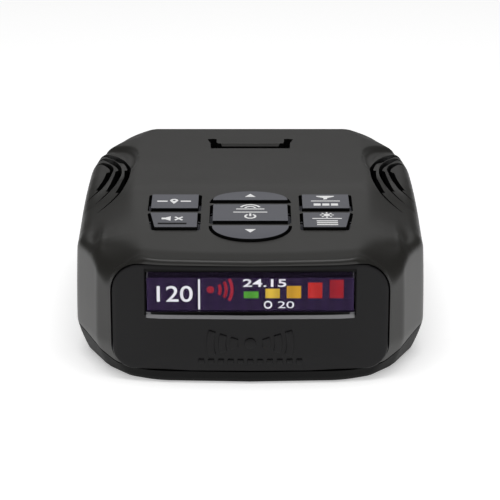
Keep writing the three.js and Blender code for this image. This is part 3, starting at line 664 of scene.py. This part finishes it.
# ---------------------------------------------------------------- keys
# Seven hard keys, two-shot moulded: a blue grey cap whose white mark runs through it, on a black flange that keeps it
# in its opening. The caps stand a little proud of the plate, and their sides are black as painted shade.
KEY_GAP = 0.72
KEY_PROUD = 0.45
FLANGE_GROW = 0.3
CAP_BOTTOM = -2.7
FLANGE_SPAN = (-3.4, -2.6)
key_plastic = moulded_plastic("textured_paint_blue_grey", "#5e5f66", 0.45, 0.2, 0.01)
PLATE_UP = ON_PLATE.to_3x3() @ Vector((0, 0, 1))


# The faces of the piece that don't look up from the plate get its second material, the black: painted shade on the
# caps' sides.
def painted_shade_sides(piece):
    for face in piece.data.polygons:
        face.material_index = 0 if face.normal @ PLATE_UP > 0.5 else 1


for name, outline in KEYS.items():
    cap = plate_of(f"cap_{name}", [outline(-KEY_GAP)], CAP_BOTTOM, KEY_PROUD, ON_PLATE)
    apply_modifier(cap, "BEVEL", width=0.2 * MM, segments=3, limit_method="ANGLE", angle_limit=math.radians(60))
    flange = plate_of("flange", [outline(FLANGE_GROW)], *FLANGE_SPAN, ON_PLATE)
    cap = joined([cap, flange])
    cap.data.materials.append(key_plastic)
    cap.data.materials.append(black_abs_and_shade)
    painted_shade_sides(cap)
    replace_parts(finished(cap, f"{name}_key"), f"key_{name}")


# The marks, drawn round their own middle as x across and s up the plate. The view along the plate shortens them, so
# they are drawn tall. Each is a list of shapes, and each shape a list of closed runs.
def bar(x0, x1, s0, s1):
    return [[(x0, s0), (x1, s0), (x1, s1), (x0, s1)]]


def disc(x, s, radius, hole=0.0):
    runs = [arc(x, s, radius, 0, 345, 23)]
    return runs + [arc(x, s, hole, 0, 345, 23)] if hole else runs


def ring_part(x, s, inner, outer, start, end):
    return [arc(x, s, outer, start, end, 14) + arc(x, s, inner, end, start, 14)]


# A disc with eight rays round it.
def sun(x, s, size):
    rays = []
    for k in range(8):
        turn = math.radians(45 * k)
        along_ray, across_ray = (math.cos(turn), math.sin(turn)), (-math.sin(turn), math.cos(turn))
        corners = [(0.66, -0.13), (1.05, -0.13), (1.05, 0.13), (0.66, 0.13)]
        rays.append([[(x + size * (a * along_ray[0] + b * across_ray[0]),
                       s + size * (a * along_ray[1] + b * across_ray[1])) for a, b in corners]])
    return [disc(x, s, 0.5 * size)] + rays


pin = [[(-0.85, 0.3), (0, -1.4), (0.85, 0.3)] + arc(0, 0.5, 0.87, -13, 193, 16), arc(0, 0.5, 0.34, 0, 345, 15)]
speaker_mark = [[(-2.3, -0.45), (-1.5, -0.45), (-0.4, -1.2), (-0.4, 1.2), (-1.5, 0.45), (-2.3, 0.45)]]
cross = [[(x * 0.95 + 1.3, s * 1.05) for x, s in (
    (-1, -0.66), (-0.66, -1), (0, -0.34), (0.66, -1), (1, -0.66), (0.34, 0),
    (1, 0.66), (0.66, 1), (0, 0.34), (-0.66, 1), (-1, 0.66), (-0.34, 0))]]
funnel = [[(-1.9, 1.0), (-1.9, 0.6), (-0.4, -0.2), (-0.4, -1.1), (0.4, -0.8), (0.4, -0.2), (1.9, 0.6), (1.9, 1.0)]]
RULE = 3.1
MARKS = {
    "mark": [((-16.3, 26.1), [pin, bar(-3.6, -1.4, -0.2, 0.4), bar(1.4, 3.6, -0.2, 0.4)])],
    "mute": [((-16.3, 16.6), [speaker_mark, cross])],
    "up": [((0, 29.5), [[[(-1.15, -0.85), (1.15, -0.85), (0, 0.9)]]])],
    "power": [((0, 22.6), [bar(-3.0, 3.0, -1.0, -0.55), ring_part(0, -0.5, 0.9, 1.35, 15, 165),
                           ring_part(0, -0.5, 1.85, 2.35, 20, 160)]),
              ((0, 19.9), [bar(-RULE - 0.5, RULE + 0.5, 0, 0.4)]),
              ((0, 17.8), [ring_part(0, 0, 0.85, 1.3, 120, 420), bar(-0.22, 0.22, 0.1, 1.5)])],
    "down": [((0, 10.0), [[[(-1.15, 0.85), (0, -0.9), (1.15, 0.85)]]])],
    "filter": [((16.1, 28.2), [funnel]),
               ((16.1, 26.1), [bar(-RULE, RULE, 0, 0.4)]),
               ((16.1, 24.3), [bar(-2.6, -1.1, -0.6, 0.6), bar(-0.75, 0.75, -0.6, 0.6), bar(1.1, 2.6, -0.6, 0.6)])],
    "menu": [((16.1, 18.5), sun(0, 0, 1.4)),
             ((16.1, 16.4), [bar(-RULE, RULE, 0, 0.4)]),
             ((16.1, 14.3), [bar(-2.2, 2.2, 0.75, 1.25), bar(-2.2, 2.2, -0.25, 0.25), bar(-2.2, 2.2, -1.25, -0.75)])],
}
MARK_SPAN = (KEY_PROUD - 0.12, KEY_PROUD + 0.02)
white_plastic = moulded_plastic("moulded_abs_white", "#ffffff", 0.4, 0.2, 0.004)
for name, groups in MARKS.items():
    shapes = [plate_of("mark", [[(x + at[0], s + at[1]) for x, s in run] for run in runs], *MARK_SPAN, ON_PLATE)
              for at, drawn in groups for runs in drawn]
    mark = joined(shapes)
    mark.name = mark.data.name = f"mark_{name}"
    mark.data.materials.append(white_plastic)
    finished(mark, f"{name}_key")

# The mute key has a dark bar under its mark.
mute_bar = plate_of("mark_mute_bar", bar(-19.3, -13.3, 13.5, 14.3), *MARK_SPAN, ON_PLATE)
mute_bar.data.materials.append(black_abs_and_shade)
finished(mute_bar, "mute_key")


# ---------------------------------------------------------------- display
# A colour OLED module behind a clear acrylic window. The real one lights dots of one panel: here each lit shape is a
# thin tile just in front of the dark face, under the window.
SCREEN_HALF = 21.0
SCREEN_LOW, SCREEN_HIGH = 15.0, 21.8
SCREEN_Y = -46.7
COLUMN_PITCH = 0.44


# A lit matrix: its columns show as fine upright stripes, drawn twice as coarse as real ones so that they show.
def lit_matrix(name, colour, strength, contrast):
    material = new_material(name)
    place = add_node(material, "TexCoord").outputs["Object"]
    pitch_scale = 1 / (20 * COLUMN_PITCH * MM)
    columns = add_node(material, "TexWave", {"Vector": place, "Scale": pitch_scale, "Distortion": 0.0},
                       wave_type="BANDS", bands_direction="X")
    drift = add_node(material, "TexNoise", {"Vector": place, "Scale": 240.0})
    shade = add_node(material, "MapRange", {"Value": columns.outputs["Fac"], "To Min": 1 - contrast, "To Max": 1.0})
    uneven = add_node(material, "MapRange", {"Value": drift.outputs["Fac"], "To Min": 0.9, "To Max": 1.1})
    light = add_node(material, "Math", operation="MULTIPLY")
    material.node_tree.links.new(shade.outputs["Result"], light.inputs[0])
    material.node_tree.links.new(uneven.outputs["Result"], light.inputs[1])
    level = add_node(material, "Math", operation="MULTIPLY")
    material.node_tree.links.new(light.outputs["Value"], level.inputs[0])
    level.inputs[1].default_value = strength
    face = add_node(material, "BsdfPrincipled", {
        "Base Color": linear("#010102"), "Roughness": 0.3, "IOR": 1.5, "Specular IOR Level": 0.0,
        "Emission Color": linear(colour), "Emission Strength": level.outputs["Value"]})
    add_node(material, "OutputMaterial", {"Surface": face.outputs["BSDF"]})
    return material


screen = plate_of("display_screen", [rounded_box(-SCREEN_HALF, SCREEN_HALF, SCREEN_LOW, SCREEN_HIGH, 0.1)],
                  -SCREEN_Y - 0.4, -SCREEN_Y, UPRIGHT)
screen.data.materials.append(lit_matrix("oled_dark_violet", "#2c213a", 1.0, 0.35))
finished(screen, "root")

lit_white = lit_matrix("oled_white", "#f4f4f6", 1.0, 0.12)
TILE_FRONT, TILE_BACK = -SCREEN_Y + 0.06, -SCREEN_Y - 0.02


def tile(name, runs, material):
    piece = plate_of(name, runs, TILE_BACK, TILE_FRONT, UPRIGHT)
    piece.data.materials.append(material)
    return finished(piece, "root")


# A number, fitted to the box x0 to x1 and z0 to z1 on the screen.
def number(name, digits, x0, x1, z0, z1, weight):
    deselect()
    bpy.ops.object.text_add()
    drawn = bpy.context.object
    drawn.data.body = digits
    drawn.data.offset = weight
    drawn_depth = 0.01
    drawn.data.extrude = drawn_depth
    bpy.ops.object.convert(target="MESH")
    piece = bpy.context.object
    piece.name = piece.data.name = name
    corners = np.array([v.co[:] for v in piece.data.vertices])
    low, high = corners.min(axis=0), corners.max(axis=0)
    across, tall = (x1 - x0) / (high[0] - low[0]), (z1 - z0) / (high[1] - low[1])
    scale = Matrix.Diagonal((across, tall, (TILE_FRONT - TILE_BACK) / (2 * drawn_depth), 1))
    centred = Matrix.Translation(-Vector(low + high) / 2)
    place = Matrix.Translation(Vector((x0 + x1, z0 + z1, TILE_BACK + TILE_FRONT)) / 2 * MM)
    piece.data.transform(UPRIGHT @ place @ Matrix.Scale(MM, 4) @ scale @ centred)
    bpy.ops.object.mode_set(mode="EDIT")
    bpy.ops.mesh.select_all(action="SELECT")
    bpy.ops.mesh.remove_doubles(threshold=1e-7)
    bpy.ops.mesh.normals_make_consistent(inside=False)
    bpy.ops.object.mode_set(mode="OBJECT")
    piece.data.materials.append(lit_white)
    return finished(piece, "root")


number("lit_heading", "120", -19.0, -11.7, 16.8, 20.2, 0.006)
number("lit_frequency", "24.15", -1.5, 7.3, 20.0, 21.65, 0.015)
number("lit_speed", "20", 5.6, 8.9, 15.45, 16.9, 0.0)
tile("lit_divider", bar(-10.6, -10.2, SCREEN_LOW + 0.2, SCREEN_HIGH - 0.2), lit_white)
tile("lit_speed_sign", disc(3.6, 16.18, 0.85, 0.55), lit_white)

# The signal strength rises in five bars.
BAR_LOW = 17.6
strengths = [(-1.3, 1.66, 19.0, "#58a838"), (3.07, 5.99, 19.6, "#e6c044"), (7.4, 10.3, 20.2, "#d8a42e"),
             (11.7, 14.6, 20.9, "#c2332a"), (16.1, 18.95, 21.5, "#a0262a")]
for k, (x0, x1, top, colour) in enumerate(strengths):
    tile(f"lit_bar_{k + 1}", bar(x0, x1, BAR_LOW, top), lit_matrix(f"oled_bar_{k + 1}", colour, 0.95, 0.22))

# The band symbol: a source with waves going out of it.
signal_red = lit_matrix("oled_red", "#a02a34", 1.0, 0.2)
tile("lit_band_source", disc(-8.1, 19.4, 0.75), signal_red)
for k, radius in enumerate((1.7, 2.9, 4.1)):
    tile(f"lit_band_wave_{k + 1}", ring_part(-8.1, 19.4, radius, radius + 0.62, -31, 31), signal_red)

# The window: a flat pane of clear acrylic set in the bezel's recess. Its polished faces are coated against glare, so
# that the little they reflect is violet.
PANE_BACK, PANE_FRONT = 47.2, 47.5
PANE_HIGH = 23.3
pane_run = rounded_box(-SCREEN_HALF - 0.1, SCREEN_HALF + 0.1, SCREEN_LOW, PANE_HIGH, 0.3)
pane = plate_of("display_pane", [pane_run], PANE_BACK, PANE_FRONT, UPRIGHT)
acrylic = new_material("polished_clear_acrylic")
haze = add_node(acrylic, "TexNoise", {"Vector": add_node(acrylic, "TexCoord").outputs["Object"], "Scale": 300.0})
polish = add_node(acrylic, "MapRange", {"Value": haze.outputs["Fac"], "To Min": 0.0, "To Max": 0.02})
clear = add_node(acrylic, "BsdfPrincipled", {"Base Color": linear("#f4f4f8"), "Roughness": polish.outputs["Result"],
                                             "IOR": 1.49, "Specular Tint": linear("#5a4c6a"),
                                             "Transmission Weight": 1.0})
add_node(acrylic, "OutputMaterial", {"Surface": clear.outputs["BSDF"]})
pane.data.materials.append(acrylic)
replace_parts(finished(pane, "root"), "display_window")


# ---------------------------------------------------------------- emblem
# The badge moulded on the bezel below the window: a generic signal symbol over a row of short bars, raised 0.2 mm in
# the same plastic.
def raised(name, runs):
    piece = plate_of(name, runs, -0.3, 0.3, UPRIGHT)
    for corner in piece.data.vertices:
        corner.co.y += panel_face_y(corner.co.x / MM) * MM
    piece.data.update()
    apply_modifier(piece, "BEVEL", width=0.12 * MM, segments=2, limit_method="ANGLE", angle_limit=math.radians(60))
    return piece


EMBLEM_Z = 8.6
emblem_parts = [raised("emblem", disc(0, EMBLEM_Z, 1.15))]
for radius in (2.6, 5.0, 7.4):
    for turn in (0, 180):
        emblem_parts.append(raised("emblem", ring_part(0, EMBLEM_Z, radius, radius + 1.5, turn - 19, turn + 19)))
for k in range(11):
    x = -10.0 + 2.0 * k
    emblem_parts.append(raised("emblem", bar(x - 0.6, x + 0.6, 4.2, 5.2)))
emblem = joined(emblem_parts)
emblem.name = emblem.data.name = "bezel_emblem"
emblem.data.materials.append(panel.data.materials[0])
finished(emblem, "root")


# ---------------------------------------------------------------- works, sockets and label
# What stays as it was made: the boards, cans, springs, screws, sockets, lens and label keep their shape and get the
# finish of their material, node by node.
# Worked metal: fine streaks along the piece from rolling or drawing, under a plating that blooms a little.
def worked_metal(name, colour, roughness, spacing, depth):
    material = new_material(name)
    place = add_node(material, "TexCoord").outputs["Object"]
    streaks = add_node(material, "Mapping", {"Vector": place, "Scale": (1.0, 0.08, 1.0)})
    grain = add_node(material, "TexNoise", {"Vector": streaks.outputs["Vector"], "Scale": 1 / (spacing * MM),
                                            "Detail": 3.0})
    bloom = add_node(material, "TexNoise", {"Vector": place, "Scale": 200.0, "Detail": 2.0})
    gloss = add_node(material, "MapRange", {"Value": bloom.outputs["Fac"], "To Min": roughness - 0.06,
                                            "To Max": roughness + 0.08})
    bump = add_node(material, "Bump", {"Height": grain.outputs["Fac"], "Distance": depth * MM})
    face = add_node(material, "BsdfPrincipled", {
        "Base Color": linear(colour), "Metallic": 1.0, "Roughness": gloss.outputs["Result"],
        "Normal": bump.outputs["Normal"]})
    add_node(material, "OutputMaterial", {"Surface": face.outputs["BSDF"]})
    return material


# The infrared window is a dark red filter plastic, polished on both faces.
FINISHES = {
    "display": moulded_plastic("display_glass_black", "#0a090d", 0.1, 0.5, 0.0005, 1.52),
    "sheet_steel": worked_metal("zinc_plated_sheet_steel", "#a8aaac", 0.38, 0.25, 0.002),
    "tinned_can": worked_metal("tinned_sheet_steel", "#c4c6c8", 0.28, 0.4, 0.002),
    "die_casting": worked_metal("die_cast_zinc", "#9c9ea0", 0.45, 0.3, 0.008),
    "screw": worked_metal("zinc_plated_screw", "#b0b0ac", 0.32, 0.15, 0.002),
    "circuit_board": moulded_plastic("green_solder_mask", "#0f3d22", 0.3, 0.6, 0.004),
    "flex_circuit": moulded_plastic("amber_polyimide_film", "#9a5a18", 0.35, 0.5, 0.002),
    "ceramic": moulded_plastic("fired_ceramic", "#cfc8b6", 0.55, 0.3, 0.004),
    "infrared_window": moulded_plastic("polished_filter_acrylic_red", "#2a0407", 0.08, 0.4, 0.001, 1.49),
    "black_plastic": moulded_plastic("moulded_nylon_black", "#0d0d0d", 0.48, 0.2, 0.008),
    "foam": moulded_plastic("closed_cell_foam", "#161616", 0.9, 0.35, 0.08),
    "label": moulded_plastic("printed_polyester_silver", "#b8babc", 0.35, 0.5, 0.001),
}
slot_of = {part["node"]: part["material_slot"] for part in frame["record"]["subparts"]}
# The bracket's parts, seen down the slot, are made black so that the slot reads dark: painted shade.
bracket_shade_black = worked_metal("black_oxide_steel", "#1c1c1e", 0.5, 0.25, 0.002)
for name, node in frame["nodes"].items():
    if slot_of.get(name) in FINISHES:
        node.data.materials.clear()
        node.data.materials.append(bracket_shade_black if name.startswith("bracket") else FINISHES[slot_of[name]])


# ---------------------------------------------------------------- stage, light and camera
# A white table lit from inside, as for a product on plain white, with a soft box overhead, one behind and one in
# front.
deselect()
bpy.ops.mesh.primitive_plane_add(size=10, location=(0, 0, -0.0002))
table = bpy.context.object
table.name = "table"
paper = new_material("matt_white_paper")
paper_grain = add_node(paper, "TexNoise", {"Vector": add_node(paper, "TexCoord").outputs["Object"], "Scale": 400.0})
paper_tone = add_node(paper, "Mix", {"Factor": paper_grain.outputs["Fac"]}, data_type="RGBA")
paper_tone.inputs["A"].default_value = linear("#f4f4f4")
paper_tone.inputs["B"].default_value = linear("#f8f8f8")
paper_face = add_node(paper, "BsdfPrincipled", {"Base Color": paper_tone.outputs["Result"], "Roughness": 0.9,
                                                "Emission Color": linear("#ffffff"), "Emission Strength": 0.45})
add_node(paper, "OutputMaterial", {"Surface": paper_face.outputs["BSDF"]})
table.data.materials.append(paper)


def soft_box(name, place, aim, width, height, power):
    light = bpy.data.lights.new(name, "AREA")
    light.shape = "RECTANGLE"
    light.size, light.size_y = width, height
    light.energy = power
    lamp = bpy.data.objects.new(name, light)
    lamp.location = place
    lamp.rotation_euler = (Vector(aim) - Vector(place)).to_track_quat("-Z", "Y").to_euler()
    bpy.context.collection.objects.link(lamp)


soft_box("overhead", (0, -0.1, 0.9), (0, 0, 0), 0.9, 0.5, 5.4)
soft_box("back", (0, 1.0, 0.6), (0, 0, 0.02), 0.8, 0.45, 0.75)
soft_box("front", (0, -0.9, 0.85), (0, 0, 0.02), 0.7, 0.3, 1.6)

world = bpy.data.worlds.new("studio")
bpy.context.scene.world = world
world.use_nodes = True
world.node_tree.nodes["Background"].inputs["Color"].default_value = linear("#ffffff")
world.node_tree.nodes["Background"].inputs["Strength"].default_value = 0.1
bpy.context.scene.view_settings.view_transform = "Standard"

CAMERA_DISTANCE = 0.450
CAMERA_DROP = math.radians(17)
aim = Vector((0, 0, 0.014))
lens = bpy.data.cameras.new("camera")
lens.sensor_width = 36
lens.lens = 143.3
lens.shift_x = -0.0006
lens.shift_y = -0.0047
lens.clip_start = 0.01
camera = bpy.data.objects.new("camera", lens)
camera.location = aim + Vector((0, -math.cos(CAMERA_DROP), math.sin(CAMERA_DROP))) * CAMERA_DISTANCE
camera.rotation_euler = (math.radians(90) - CAMERA_DROP, 0, 0)
bpy.context.collection.objects.link(camera)
bpy.context.scene.camera = camera
